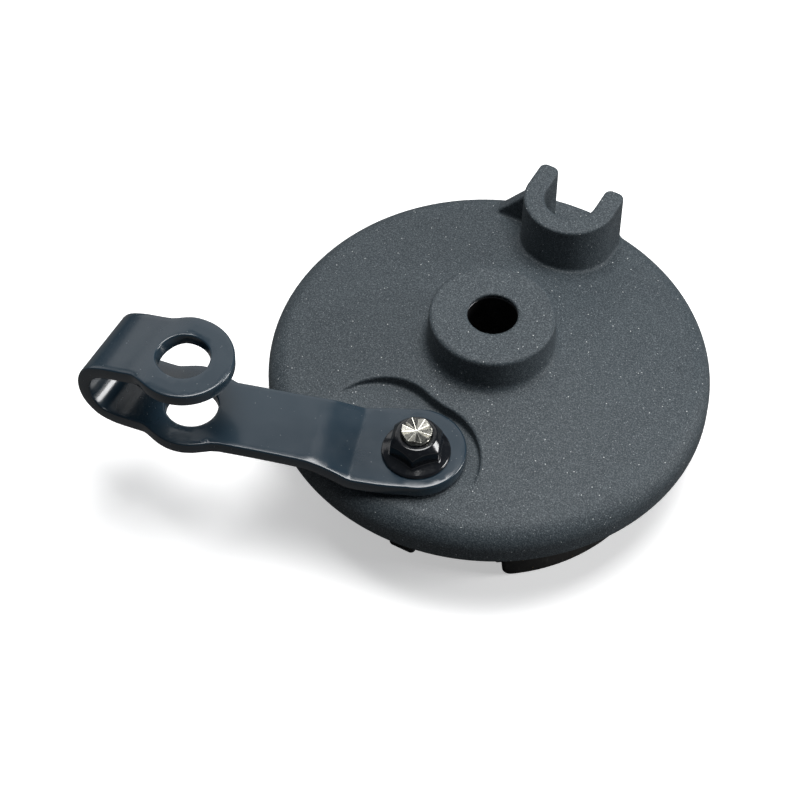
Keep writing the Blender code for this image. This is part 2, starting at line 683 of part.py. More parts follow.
def build_spring(name, y, mat):
    """Extension spring across the two webs, hooked down through a hole in each."""
    z_axis = -9.9
    coil_r, wire_r, turns, half = 2.9, 0.55, 9, 7.6
    hook_z = WEB_Z[1] + 0.95
    x = SPRING_HOLE_X
    lead = [(-x, y, -13.2), (-x, y, -8.0), (0.3 - x, y, -7.25), (1.0 - x, y, hook_z),
            (-11.0, y, hook_z), (-9.0, y, hook_z), (-8.2, y, z_axis + coil_r)]
    coil = []
    steps = turns * 12
    for k in range(steps + 1):
        a = 2.0 * math.pi * turns * k / steps
        coil.append((-half + 2.0 * half * k / steps, y + coil_r * math.sin(a),
                     z_axis + coil_r * math.cos(a)))
    tail = [(-x, y, z) for x, _, z in reversed(lead)]
    return finish(tube(name, lead + coil + tail, wire_r), mat)


def main():
    clear_scene()
    coat = material("plate_coat", (0.035, 0.036, 0.038), 0.0, 0.62)
    black_coat = material("lever_coat", (0.012, 0.016, 0.020), 0.0, 0.28)
    black_zinc = material("nut_finish", (0.010, 0.010, 0.012), 0.6, 0.25)
    bright = material("spindle_steel", (0.62, 0.61, 0.59), 1.0, 0.30)
    sleeve_steel = material("sleeve_steel", (0.16, 0.16, 0.17), 1.0, 0.35)
    zinc = material("zinc_steel", (0.55, 0.55, 0.53), 1.0, 0.35)
    spring_steel = material("spring_steel", (0.30, 0.30, 0.31), 1.0, 0.35)
    casting = material("shoe_casting", (0.52, 0.52, 0.52), 1.0, 0.45)
    lining = material("friction_lining", (0.030, 0.028, 0.027), 0.0, 0.85)
    bronze = material("bush_bronze", (0.50, 0.32, 0.14), 1.0, 0.40)
    rubber = material("seal_rubber", (0.012, 0.012, 0.012), 0.0, 0.60)

    build_plate(coat)
    build_sleeve(sleeve_steel)
    ring("spindle_bush", bronze, SPINDLE_XY, 4.06, 5.12, -2.1, 6.9)
    build_o_ring(rubber)
    ring("thrust_washer", zinc, SPINDLE_XY, 4.1, 7.0, 8.9, 9.7)
    build_anchor_pin(zinc)
    ring("anchor_spacer", zinc, ANCHOR_XY, 4.15, 6.8, -3.7, -2.4)
    ring("anchor_washer", zinc, ANCHOR_XY, 4.15, 6.9, -16.5, -16.0)
    build_clip(spring_steel)
    build_spring("anchor_side_spring", SPRING_Y[0], spring_steel)
    build_spring("cam_side_spring", SPRING_Y[1], spring_steel)
    build_spindle(bright)
    build_lever(black_coat)
    build_nut(black_zinc)
    for name, side in (("leading", -1), ("trailing", 1)):
        build_shoe(name + "_shoe", side, casting)
        build_lining(name + "_lining", side, lining)
        build_pad(name + "_cam_pad", side, zinc)


main()
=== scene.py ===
"""Visual model of the drum-brake backing plate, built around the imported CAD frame.

Millimetres in the shape functions, metres in Blender.  +Z is the axle, +Y the torque fork.
Cast and machined solids are described as distance fields and turned into smooth quad meshes, so
that every fillet, draft and edge break is real geometry.
"""

import math

import bmesh
import bpy
import numpy as np
from mathutils import Matrix, Vector
from mathutils.geometry import delaunay_2d_cdt


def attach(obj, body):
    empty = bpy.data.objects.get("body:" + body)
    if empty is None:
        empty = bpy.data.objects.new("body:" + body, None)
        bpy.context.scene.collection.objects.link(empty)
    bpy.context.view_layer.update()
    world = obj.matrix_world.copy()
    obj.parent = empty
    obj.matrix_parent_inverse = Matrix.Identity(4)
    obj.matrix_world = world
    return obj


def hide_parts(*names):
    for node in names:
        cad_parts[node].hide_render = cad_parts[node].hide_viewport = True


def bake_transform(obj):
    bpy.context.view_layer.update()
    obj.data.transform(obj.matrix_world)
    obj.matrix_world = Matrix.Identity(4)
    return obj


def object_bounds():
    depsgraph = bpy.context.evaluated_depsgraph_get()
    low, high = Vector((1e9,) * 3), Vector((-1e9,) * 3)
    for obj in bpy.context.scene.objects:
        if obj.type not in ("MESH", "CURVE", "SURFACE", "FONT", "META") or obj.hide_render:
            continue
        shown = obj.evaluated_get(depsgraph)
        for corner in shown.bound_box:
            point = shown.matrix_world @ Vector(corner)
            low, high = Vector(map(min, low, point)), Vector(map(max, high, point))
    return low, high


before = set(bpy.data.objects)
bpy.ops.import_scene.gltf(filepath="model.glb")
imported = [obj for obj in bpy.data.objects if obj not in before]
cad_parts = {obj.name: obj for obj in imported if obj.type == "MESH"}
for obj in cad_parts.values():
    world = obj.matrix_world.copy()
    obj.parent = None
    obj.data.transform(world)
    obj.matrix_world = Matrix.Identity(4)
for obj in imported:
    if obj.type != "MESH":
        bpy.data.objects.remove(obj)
cad_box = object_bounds()

MM = 0.001
SHARP_ANGLE = 30.0

# --- shared dimensions, as in the CAD ---------------------------------------------------------
PLATE_R = 47.0
SHOULDER_ROUND = 4.4
CONE_EDGE_R = 44.0
CONE_EDGE_Z = 8.24
CONE_SLOPE = 0.18
SKIN = 3.0
RIM_INNER_R = 44.0
HUB_TOP_Z = 22.45
HUB_R = 13.3
BORE_R = 5.3
SLEEVE_R = 6.6
SLEEVE_FOOT_Z = -2.5
SLEEVE_TOP_Z = 21.3
SPINDLE = (0.0, -32.8)
ANCHOR = (0.0, 32.8)
RECESS_FLOOR_Z = 9.75
RECESS_R = 13.1
SWEEP = (-10.3, -30.4)
SWEEP_R = 13.0
BOSS_FOOT_Z = -2.2
FORK = (0.1, 35.65)
FORK_TOP_Z = 23.6
FORK_R = 10.05
FORK_SLOT_R = 5.6
FORK_REACH = 6.5
PRONG_CORNER = 1.6
FORK_FLOOR_Z = 9.3
FORK_FLOOR_R = 46.2
FORK_FLOOR_HALF = 8.6

LEVER_T = 3.0
LEVER_BOTTOM_Z = 10.05
LEVER_AZIMUTH = 197.0       # direction of the arm from the spindle, degrees
ARM_X = math.cos(math.radians(LEVER_AZIMUTH))
ARM_Y = math.sin(math.radians(LEVER_AZIMUTH))
END_R = 10.15
END_SHIFT = 0.95
LOWER_EYE = (-45.2, -46.2)
UPPER_EYE = (-46.1, -46.5)
EYE_R = 10.4
EYE_HOLE_R = 5.45
STRIP_Y = -46.7
STRIP_HALF = 8.4
# Edges of the arm as (distance from the spindle, distance from the arm's line).
NEAR_EDGE = [(0.0, 9.2), (4.0, 9.75), (8.0, 10.0), (12.0, 10.0), (16.0, 9.3), (22.0, 8.6),
             (30.0, 8.3), (38.0, 8.2), (50.0, 8.2)]
FAR_EDGE = [(0.0, 11.1), (5.0, 10.3), (10.0, 9.35), (13.0, 8.75), (17.0, 8.4), (22.0, 8.0),
            (30.0, 8.0), (38.0, 8.1), (50.0, 8.1)]
JOGGLE_RISE = 2.0
JOGGLE_FROM = 12.2
JOGGLE_TO = 20.0
JOGGLE_NEAR_BEND = 0.09     # half-lengths of the joggle's two bends, as parts of its length
JOGGLE_FAR_BEND = 0.24
LEVER_EDGE = 0.5

SHOE_Z = (-18.4, -1.4)
WEB_Z = (-11.9, -7.9)
WEB_MIDDLE_Z = (WEB_Z[0] + WEB_Z[1]) / 2.0
LINING_R = 38.0
TABLE_R = 34.9
TABLE_INNER_R = 32.3
LINING_SPAN = (-57.0, 60.0)
PAD_FACE_X = 3.35
PAD_T = 1.0
PIN_R = 4.0
SPRING_Y = {"anchor_side_spring": 20.6, "cam_side_spring": -20.6}
SPRING_HOLE_X = 18.6
JOURNAL_R = 3.95
NUT_FLATS = 10.0
NUT_CORNER = math.radians(50.0)     # direction of one corner of the hexagon

# --- distance fields --------------------------------------------------------------------------
def both(a, b, r=0.0):
    """Intersection with its edge rounded to radius r."""
    if r == 0.0:
        return np.maximum(a, b)
    return np.minimum(np.maximum(a, b), -r) + np.hypot(np.maximum(a + r, 0), np.maximum(b + r, 0))


def either(a, b, r=0.0):
    """Union with a fillet of radius r."""
    if r == 0.0:
        return np.minimum(a, b)
    return np.maximum(np.minimum(a, b), r) - np.hypot(np.maximum(r - a, 0), np.maximum(r - b, 0))


def minus(a, b, r=0.0):
    """a with b cut out, the new edge rounded to radius r."""
    return both(a, -b, r)


def post(x, y, z, centre, radius, low, high, r=0.0):
    """Upright cylinder between two heights."""
    side = np.hypot(x - centre[0], y - centre[1]) - radius
    return both(both(side, z - high, r), low - z, r)


def mesh_object(name, verts, faces, mat):
    mesh = bpy.data.meshes.new(name)
    mesh.from_pydata(verts, [], faces)
    mesh.update()
    obj = bpy.data.objects.new(name, mesh)
    bpy.context.scene.collection.objects.link(obj)
    mesh.materials.append(mat)
    mesh.shade_smooth()
    return obj


def crossings(value, axis):
    """Grid edges along an axis that the surface crosses: mask, start inside, place on the edge."""
    here = [slice(None)] * 3
    there = [slice(None)] * 3
    here[axis] = slice(0, -1)
    there[axis] = slice(1, None)
    a, b = value[tuple(here)], value[tuple(there)]
    crosses = (a < 0.0) != (b < 0.0)
    return crosses, a < 0.0, np.where(crosses, a / np.where(crosses, a - b, 1.0), 0.0)


def add_crossings(total, count, axis, crosses, t):
    """Add each crossing's place, in grid units, to the four cells round its edge."""
    places = []
    for k in range(3):
        shape = [1, 1, 1]
        shape[k] = -1
        place_k = np.arange(crosses.shape[k], dtype=np.float32).reshape(shape)
        if k == axis:
            place_k = place_k + t
        places.append(np.where(crosses, place_k, 0.0))
    u, v = [k for k in range(3) if k != axis]
    for du in (slice(0, -1), slice(1, None)):
        for dv in (slice(0, -1), slice(1, None)):
            pick = [slice(None)] * 3
            pick[u] = du
            pick[v] = dv
            pick = tuple(pick)
            count += crosses[pick]
            for k in range(3):
                total[..., k] += places[k][pick]


def crossing_quads(index, axis, crosses, starts_inside):
    """One quad for each crossed edge, through its four cells, facing outwards."""
    u, v = [(1, 2), (2, 0), (0, 1)][axis]
    at = np.argwhere(crosses)
    at = at[(at[:, u] > 0) & (at[:, v] > 0)]
    at = at[(at[:, u] < index.shape[u]) & (at[:, v] < index.shape[v])]
    corners = []
    for du, dv in ((-1, -1), (0, -1), (0, 0), (-1, 0)):
        cell = at.copy()
        cell[:, u] += du
        cell[:, v] += dv
        corners.append(index[tuple(cell.T)])
    quad = np.stack(corners, 1)
    flip = ~starts_inside[tuple(at.T)]
    quad[flip] = quad[flip][:, ::-1]
    return quad


def pull_to_surface(field, points, step):
    """Move points along the field's gradient to its zero level."""
    reach = 0.25 * step
    for _ in range(3):
        x, y, z = points.T
        base = field(x, y, z)
        gradient = np.stack([field(x + reach, y, z) - field(x - reach, y, z),
                             field(x, y + reach, z) - field(x, y - reach, z),
                             field(x, y, z + reach) - field(x, y, z - reach)], 1) / (2.0 * reach)
        size = np.maximum((gradient ** 2).sum(1), 0.05)
        move = -(base / size)[:, None] * gradient
        points = points + np.clip(move, -0.4 * step, 0.4 * step)
    return points


def surface(name, field, low, high, step, mat):
    """Quad mesh of field's zero level (surface nets), each vertex pulled on to the surface."""
    axes = [np.arange(a - step, b + 2.0 * step, step) for a, b in zip(low, high)]
    x, y, z = np.meshgrid(*axes, indexing="ij", sparse=True)
    value = np.broadcast_to(field(x, y, z), [len(a) for a in axes]).astype(np.float32)
    cells = [n - 1 for n in value.shape]
    total = np.zeros(cells + [3], np.float32)
    count = np.zeros(cells, np.float32)
    edges = []
    for axis in range(3):
        crosses, starts_inside, t = crossings(value, axis)
        edges.append((crosses, starts_inside))
        add_crossings(total, count, axis, crosses, t)
    active = count > 0
    points = total[active] / count[active][:, None]
    points = points * step + np.array([a[0] for a in axes])
    index = np.full(cells, -1, np.int64)
    index[active] = np.arange(len(points))
    faces = np.concatenate([crossing_quads(index, axis, *edge) for axis, edge in enumerate(edges)])
    points = pull_to_surface(field, points, step)
    return mesh_object(name, (points * MM).tolist(), faces.tolist(), mat)


# --- swept, turned and flat pieces --------------------------------------------------------------
def lathe(name, profile, mat, centre=(0.0, 0.0), segments=96):
    """Turn a closed (radius, z) loop about a vertical axis."""
    verts = []
    rings = []
    for r, z in profile:
        if r < 1e-6:
            rings.append([len(verts)] * segments)
            verts.append((centre[0] * MM, centre[1] * MM, z * MM))
            continue
        rings.append(list(range(len(verts), len(verts) + segments)))
        for k in range(segments):
            a = 2.0 * math.pi * k / segments
            x, y = centre[0] + r * math.cos(a), centre[1] + r * math.sin(a)
            verts.append((x * MM, y * MM, z * MM))
    faces = []
    for i, ring in enumerate(rings):
        other = rings[(i + 1) % len(rings)]
        for k in range(segments):
            j = (k + 1) % segments
            loop = []
            for v in (ring[k], ring[j], other[j], other[k]):
                if v not in loop:
                    loop.append(v)
            if len(loop) > 2:
                faces.append(loop)
    obj = mesh_object(name, verts, faces, mat)
    outward(obj)
    obj.data.shade_smooth()
    obj.data.set_sharp_from_angle(angle=math.radians(SHARP_ANGLE))
    return obj


def outward(obj):
    bm = bmesh.new()
    bm.from_mesh(obj.data)
    bmesh.ops.recalc_face_normals(bm, faces=bm.faces)
    bm.to_mesh(obj.data)
    bm.free()


def soft_corners(profile, radius, steps=4):
    """Round every corner of a closed (radius, z) loop by up to the given radius."""
    points = []
    n = len(profile)
    for i in range(n):
        before, here, after = (Vector(profile[(i + k) % n]) for k in (-1, 0, 1))
        a, b = before - here, after - here
        reach = min(radius, a.length * 0.45, b.length * 0.45)
        if here.x < 1e-6 or a.normalized().dot(b.normalized()) < -0.97:
            points.append(tuple(here))
            continue
        p, q = here + a.normalized() * reach, here + b.normalized() * reach
        for k in range(steps + 1):
            t = k / steps
            points.append(tuple(p * (1 - t) ** 2 + here * 2 * t * (1 - t) + q * t * t))
    return points


def tube(name, path, radius, mat, sides=14):
    """Round wire along a list of points, closed by small domes."""
    points = [Vector(p) for p in path]
    dome = 0.8 * radius
    rings = []
    side = None
    for i, p in enumerate(points):
        tangent = (points[min(i + 1, len(points) - 1)] - points[max(i - 1, 0)]).normalized()
        if side is None:
            side = tangent.cross(Vector((1.0, 0.1, 0.0))).normalized()
        side = (side - tangent * side.dot(tangent)).normalized()
        up = tangent.cross(side)
        if i == 0:
            rings += [(p + tangent * dome * (1.0 - math.cos(a)), side, up, radius * math.sin(a))
                      for a in (0.35, 0.8)]
            rings.append((p + tangent * dome, side, up, radius))
        elif i == len(points) - 1:
            rings.append((p - tangent * dome, side, up, radius))
            rings += [(p - tangent * dome * (1.0 - math.cos(a)), side, up, radius * math.sin(a))
                      for a in (0.8, 0.35)]
        else:
            rings.append((p, side, up, radius))
    verts = []
    for p, s, u, r in rings:
        for k in range(sides):
            a = 2.0 * math.pi * k / sides
            verts.append((p + r * (math.cos(a) * s + math.sin(a) * u)) * MM)
    faces = []
    for i in range(len(rings) - 1):
        for k in range(sides):
            j = (k + 1) % sides
            faces.append([i * sides + k, i * sides + j, (i + 1) * sides + j, (i + 1) * sides + k])
    verts += [points[0] * MM, points[-1] * MM]
    tail = (len(rings) - 1) * sides
    for k in range(sides):
        j = (k + 1) % sides
        faces.append([len(verts) - 2, j, k])
        faces.append([len(verts) - 1, tail + k, tail + j])
    obj = mesh_object(name, verts, faces, mat)
    outward(obj)
    return obj


# --- materials ----------------------------------------------------------------------------------
class Paint:
    """Small helper that adds nodes to a material's tree."""

    def __init__(self, name, colour, metallic, roughness, **sockets):
        self.mat = bpy.data.materials.new(name)
        self.mat.use_nodes = True
        self.tree = self.mat.node_tree
        self.shader = self.tree.nodes["Principled BSDF"]
        self.shader.inputs["Base Color"].default_value = (*colour, 1.0)
        self.shader.inputs["Metallic"].default_value = metallic
        self.shader.inputs["Roughness"].default_value = roughness
        for socket, value in sockets.items():
            self.shader.inputs[socket.replace("_", " ")].default_value = value
        self.coords = self.add("ShaderNodeTexCoord").outputs["Object"]

    def add(self, kind, **settings):
        node = self.tree.nodes.new(kind)
        for key, value in settings.items():
            setattr(node, key, value)
        return node

    def link(self, output, socket):
        self.tree.links.new(output, socket)

    def noise(self, scale, detail=2.0, rough=0.5, stretch=None):
        node = self.add("ShaderNodeTexNoise")
        node.inputs["Scale"].default_value = scale
        node.inputs["Detail"].default_value = detail
        node.inputs["Roughness"].default_value = rough
        source = self.coords
        if stretch:
            mapping = self.add("ShaderNodeMapping")
            mapping.inputs["Scale"].default_value = stretch
            self.link(source, mapping.inputs["Vector"])
            source = mapping.outputs["Vector"]
        self.link(source, node.inputs["Vector"])
        return node.outputs["Fac"]

    def cells(self, scale, output="Distance"):
        node = self.add("ShaderNodeTexVoronoi", feature="F1")
        node.inputs["Scale"].default_value = scale
        self.link(self.coords, node.inputs["Vector"])
        return node.outputs[output]

    def flakes(self, scale, share, core, edge):
        """Small round specks in a few of the cells; share is the part of the cells left plain."""
        split = self.add("ShaderNodeSeparateColor")
        self.link(self.cells(scale, output="Color"), split.inputs["Color"])
        chosen = self.spread(split.outputs["Red"], share, share + 0.01, 0.0, 1.0)
        return self.maths("MULTIPLY", chosen, self.spread(self.cells(scale), core, edge, 1.0, 0.0))

    def spread(self, value, low, high, out_low, out_high):
        node = self.add("ShaderNodeMapRange")
        ends = {"From Min": low, "From Max": high, "To Min": out_low, "To Max": out_high}
        for key, number in ends.items():
            node.inputs[key].default_value = number
        self.link(value, node.inputs["Value"])
        return node.outputs["Result"]

    def maths(self, operation, a, b):
        node = self.add("ShaderNodeMath", operation=operation)
        for socket, value in zip(node.inputs, (a, b)):
            if isinstance(value, (int, float)):
                socket.default_value = value
            else:
                self.link(value, socket)
        return node.outputs[0]

    def blend(self, factor, a, b):
        """Colour a to colour b; each is a colour tuple or an output."""
        node = self.add("ShaderNodeMix", data_type="RGBA")
        self.link(factor, node.inputs["Factor"])
        for socket, value in ((node.inputs[6], a), (node.inputs[7], b)):
            if isinstance(value, tuple):
                socket.default_value = (*value, 1.0)
            else:
                self.link(value, socket)
        return node.outputs[2]

    def bump(self, height, distance, strength=1.0, under=None):
        node = self.add("ShaderNodeBump")
        node.inputs["Strength"].default_value = strength
        node.inputs["Distance"].default_value = distance
        self.link(height, node.inputs["Height"])
        if under is not None:
            self.link(under, node.inputs["Normal"])
        return node.outputs["Normal"]

    def edge_wear_and_highlight(self, low, high, strength):
        """Mask of the convex edges, for rubbed wear and a painted edge highlight."""
        node = self.add("ShaderNodeNewGeometry")
        return self.spread(node.outputs["Pointiness"], low, high, 0.0, strength)

    def set(self, socket, output):
        self.link(output, self.shader.inputs[socket])


def plate_coat():
    """Textured matt powder coat: fine grain, soft mottling and scattered light flakes."""
    p = Paint("plate_coat", (0.05, 0.056, 0.062), 0.0, 0.55, Specular_IOR_Level=0.4)
    tone = p.spread(p.noise(160.0, 3.0, 0.6), 0.3, 0.7, 0.0, 1.0)
    base = p.blend(tone, (0.024, 0.034, 0.042), (0.030, 0.042, 0.050))
    grain = p.noise(3400.0, 2.0, 0.75)
    base = p.blend(p.spread(grain, 0.46, 0.70, 0.0, 1.0), base, (0.100, 0.118, 0.130))
    base = p.blend(p.spread(grain, 0.30, 0.46, 0.6, 0.0), base, (0.018, 0.023, 0.028))
    base = p.blend(p.flakes(2600.0, 0.88, 0.12, 0.30), base, (0.26, 0.29, 0.30))
    base = p.blend(p.flakes(1900.0, 0.972, 0.12, 0.26), base, (0.70, 0.73, 0.73))
    p.set("Base Color", base)
    p.set("Roughness", p.spread(grain, 0.3, 0.7, 0.66, 0.46))
    peel = p.bump(p.noise(900.0, 2.0, 0.5), 0.00012, 0.6)
    p.set("Normal", p.bump(grain, 0.00011, 1.0, peel))
    return p.mat


def lever_coat():
    """Smooth blue-black electro-coat over pressed steel: faint orange peel, dust, and rubbed edges
    lightened partly as a painted edge highlight.
    """
    p = Paint("lever_coat", (0.016, 0.032, 0.044), 0.0, 0.26, Specular_IOR_Level=0.6,
              Coat_Weight=0.3, Coat_Roughness=0.12)
    cloud = p.spread(p.noise(45.0, 3.0, 0.5), 0.35, 0.7, 0.0, 1.0)
    base = p.blend(cloud, (0.010, 0.023, 0.036), (0.014, 0.029, 0.043))
    base = p.blend(p.flakes(1500.0, 0.93, 0.08, 0.24), base, (0.10, 0.12, 0.13))
    # lighter convex edges: part rubbed wear, part painted highlight along the edges
    base = p.blend(p.edge_wear_and_highlight(0.55, 0.64, 0.35), base, (0.14, 0.17, 0.19))
    p.set("Base Color", base)
    p.set("Roughness", p.spread(p.noise(180.0, 3.0, 0.6), 0.3, 0.75, 0.20, 0.28))
    peel = p.bump(p.noise(700.0, 2.0, 0.45), 0.00002, 0.35)
    p.set("Normal", p.bump(p.noise(2600.0, 2.0, 0.6), 0.00001, 0.3, peel))
    return p.mat


def nut_finish():
    """Gloss black plated nut with fine tool marks."""
    p = Paint("nut_finish", (0.006, 0.007, 0.009), 0.0, 0.12, Specular_IOR_Level=0.7)
    scuff = p.spread(p.noise(900.0, 4.0, 0.7), 0.55, 0.8, 0.0, 0.5)
    p.set("Base Color", p.blend(scuff, (0.006, 0.007, 0.009), (0.035, 0.037, 0.040)))
    p.set("Roughness", p.spread(p.noise(500.0, 3.0, 0.6), 0.3, 0.7, 0.08, 0.20))
    p.set("Normal", p.bump(p.noise(1500.0, 2.0, 0.6, (1.0, 1.0, 3.0)), 0.00003, 0.3))
    return p.mat


def steel(name, colour, roughness, scratch=0.35, stretch=(1.0, 1.0, 8.0)):
    """Turned or plated steel: fine directional marks, tone and polish variation."""
    p = Paint(name, colour, 1.0, roughness)
    lighter = tuple(min(c * 1.25, 1.0) for c in colour)
    darker = tuple(c * 0.62 for c in colour)
    patch = p.spread(p.noise(220.0, 4.0, 0.6), 0.3, 0.7, 0.0, 1.0)
    p.set("Base Color", p.blend(patch, darker, lighter))
    marks = p.noise(1800.0, 3.0, 0.6, stretch)
    p.set("Roughness", p.spread(marks, 0.25, 0.75, roughness * 0.7, roughness * 1.35))
    p.set("Normal", p.bump(marks, 0.00003, scratch))
    return p.mat


def shoe_casting():
    """Die-cast aluminium skin: fine grain, flow marks and a dull oxide tone."""
    p = Paint("shoe_casting", (0.34, 0.34, 0.335), 1.0, 0.46)
    flow = p.spread(p.noise(90.0, 5.0, 0.65, (1.0, 1.6, 1.0)), 0.3, 0.7, 0.0, 1.0)
    base = p.blend(flow, (0.26, 0.26, 0.255), (0.42, 0.42, 0.41))
    pits = p.spread(p.cells(900.0), 0.05, 0.16, 1.0, 0.0)
    base = p.blend(p.maths("MULTIPLY", pits, 0.35), base, (0.10, 0.10, 0.10))
    p.set("Base Color", base)
    p.set("Roughness", p.spread(p.noise(700.0, 3.0, 0.6), 0.3, 0.7, 0.36, 0.60))
    rough = p.bump(p.noise(600.0, 3.0, 0.6), 0.00010, 0.4)
    p.set("Normal", p.bump(p.noise(2600.0, 2.0, 0.6), 0.00004, 0.5, rough))
    return p.mat


def friction_lining():
    """Moulded friction material: dark binder with fibre flecks, brass grit and ground marks."""
    p = Paint("friction_lining", (0.022, 0.021, 0.020), 0.0, 0.82, Specular_IOR_Level=0.35)
    tone = p.spread(p.noise(300.0, 4.0, 0.7), 0.3, 0.7, 0.0, 1.0)
    base = p.blend(tone, (0.014, 0.014, 0.014), (0.034, 0.032, 0.030))
    fibre = p.spread(p.noise(1500.0, 2.0, 0.6, (1.0, 1.0, 0.25)), 0.64, 0.72, 0.0, 0.55)
    base = p.blend(fibre, base, (0.085, 0.082, 0.078))
    pick = p.cells(1300.0, output="Color")
    split = p.add("ShaderNodeSeparateColor")
    p.link(pick, split.inputs["Color"])
    grit = p.maths("MULTIPLY", p.spread(split.outputs["Green"], 0.93, 0.95, 0.0, 1.0),
                   p.spread(p.cells(1300.0), 0.14, 0.24, 1.0, 0.0))
    base = p.blend(grit, base, (0.42, 0.27, 0.12))
    p.set("Base Color", base)
    p.set("Roughness", p.spread(p.noise(1200.0, 3.0, 0.6), 0.3, 0.7, 0.70, 0.92))
    ground = p.bump(p.noise(1800.0, 3.0, 0.6, (0.3, 0.3, 3.0)), 0.00008, 0.6)
    p.set("Normal", p.bump(p.noise(900.0, 4.0, 0.7), 0.00010, 0.5, ground))
    return p.mat


def seal_rubber():
    p = Paint("seal_rubber", (0.014, 0.014, 0.014), 0.0, 0.55, Specular_IOR_Level=0.4)
    bloom = p.spread(p.noise(400.0, 4.0, 0.6), 0.4, 0.75, 0.0, 1.0)
    p.set("Base Color", p.blend(bloom, (0.010, 0.010, 0.010), (0.030, 0.030, 0.031)))
    p.set("Roughness", p.spread(p.noise(800.0, 2.0, 0.5), 0.3, 0.7, 0.48, 0.66))
    p.set("Normal", p.bump(p.noise(1600.0, 2.0, 0.5), 0.00003, 0.4))
    return p.mat


COAT = plate_coat()
LEVER_COAT = lever_coat()
NUT = nut_finish()
BRIGHT = steel("spindle_steel", (0.52, 0.51, 0.46), 0.27, 0.4)
SPINDLE_BODY = steel("spindle_body", (0.16, 0.16, 0.16), 0.36, 0.35)
SLEEVE = steel("sleeve_steel", (0.10, 0.10, 0.105), 0.34, 0.3)
ZINC = steel("zinc_steel", (0.58, 0.59, 0.58), 0.30, 0.3)
SPRING = steel("spring_steel", (0.30, 0.30, 0.31), 0.32, 0.3, (1.0, 1.0, 1.0))
BRONZE = steel("bush_bronze", (0.52, 0.33, 0.15), 0.38, 0.4)
PAD_STEEL = steel("pad_steel", (0.09, 0.09, 0.09), 0.40, 0.3)
CASTING = shoe_casting()
LINING = friction_lining()
RUBBER = seal_rubber()


def place(obj, body, slot, *nodes):
    """Attach a piece to its body and hide the CAD nodes it stands for; slot is not used."""
    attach(obj, body)
    if nodes:
        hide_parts(*nodes)
    return obj


# --- backing plate ------------------------------------------------------------------------------
def cone_z(r):
    return CONE_EDGE_Z + CONE_SLOPE * (CONE_EDGE_R - r)


def fork_plan(x, y):
    """Distance to the U of the torque fork, seen from above."""
    middle = (FORK_R + FORK_SLOT_R) / 2.0
    half = (FORK_R - FORK_SLOT_R) / 2.0
    across = np.abs(x - FORK[0]) - middle
    ring = np.abs(np.hypot(x - FORK[0], y - FORK[1]) - middle) - half
    prong = both(np.abs(across) - half, y - FORK[1] - FORK_REACH, PRONG_CORNER)
    return np.where(y < FORK[1], ring, prong)


def recess_plan(x, y):
    round_part = np.hypot(x - SPINDLE[0], y - SPINDLE[1]) - RECESS_R
    swing = np.hypot(x - SWEEP[0], y - SWEEP[1]) - SWEEP_R
    return either(round_part, swing, 2.4)


def hub_field(r, z):
    hub = both(r - HUB_R - 0.02 * (HUB_TOP_Z - z), z - HUB_TOP_Z, 0.9)
    return both(hub, 6.0 - z)


def fork_field(x, y, z):
    """Torque fork with the sloping rib on its left side."""
    prongs = both(fork_plan(x, y) - 0.006 * (FORK_TOP_Z - z), z - FORK_TOP_Z, 0.5)
    rib = both(both(y - 39.6, 36.0 - y, 0.5), x + 8.6)
    slant = (-10.2 * (x + 17.6) + 7.8 * (z - 9.0)) / math.hypot(10.2, 7.8)
    return both(either(prongs, both(rib, slant, 0.45), 0.7), 6.0 - z)


def cut_spindle_hole(body, x, y, z):
    """Stepped hole: bush, seal seat and washer seat."""
    s = np.hypot(x - SPINDLE[0], y - SPINDLE[1])
    body = minus(body, s - 5.2)
    body = minus(body, both(s - 5.8, 7.0 - z))
    return minus(body, both(s - 7.2, 8.75 - z), 0.2)


def plate_field(x, y, z):
    r = np.hypot(x, y)
    tilt = math.cos(math.atan(CONE_SLOPE))
    skin_top = (z - cone_z(r)) * tilt
    body = both(both(skin_top, r - PLATE_R, SHOULDER_ROUND), -z, 0.35)
    body = either(body, hub_field(r, z), 1.5)

    floor = both(both(np.abs(x) - FORK_FLOOR_HALF, r - FORK_FLOOR_R, 0.8), z - FORK_FLOOR_Z, 0.7)
    body = either(body, both(both(floor, 34.0 - y), 5.0 - z), 1.0)
    body = either(body, fork_field(x, y, z), 0.7)

    cavity = both((z - cone_z(r) + SKIN) * tilt, r - RIM_INNER_R, 2.6)
    body = minus(body, cavity, 0.4)

    plan = recess_plan(x, y)
    pad = both(both(plan - 2.2, 6.7 - z, 0.5), both(skin_top + 0.6, r - 43.5))
    body = either(body, pad, 0.8)
    body = either(body, post(x, y, z, (0.0, 0.0), 11.0, -2.0, 12.0, 0.5), 1.6)
    body = either(body, post(x, y, z, SPINDLE, 8.2, BOSS_FOOT_Z, 7.6, 0.4), 1.5)
    body = either(body, post(x, y, z, ANCHOR, 7.6, BOSS_FOOT_Z, 7.2, 0.4), 1.5)

    pocket = both(plan - 0.06 * (z - RECESS_FLOOR_Z), RECESS_FLOOR_Z - z, 0.45)
    body = minus(body, pocket, 0.35)
    body = minus(body, r - BORE_R, 0.2)
    body = minus(body, both(r - SLEEVE_R, z - SLEEVE_TOP_Z - 0.1))
    body = cut_spindle_hole(body, x, y, z)
    pin = np.hypot(x - ANCHOR[0], y - ANCHOR[1])
    return minus(body, both(pin - PIN_R - 0.05, z - 4.6), 0.2)


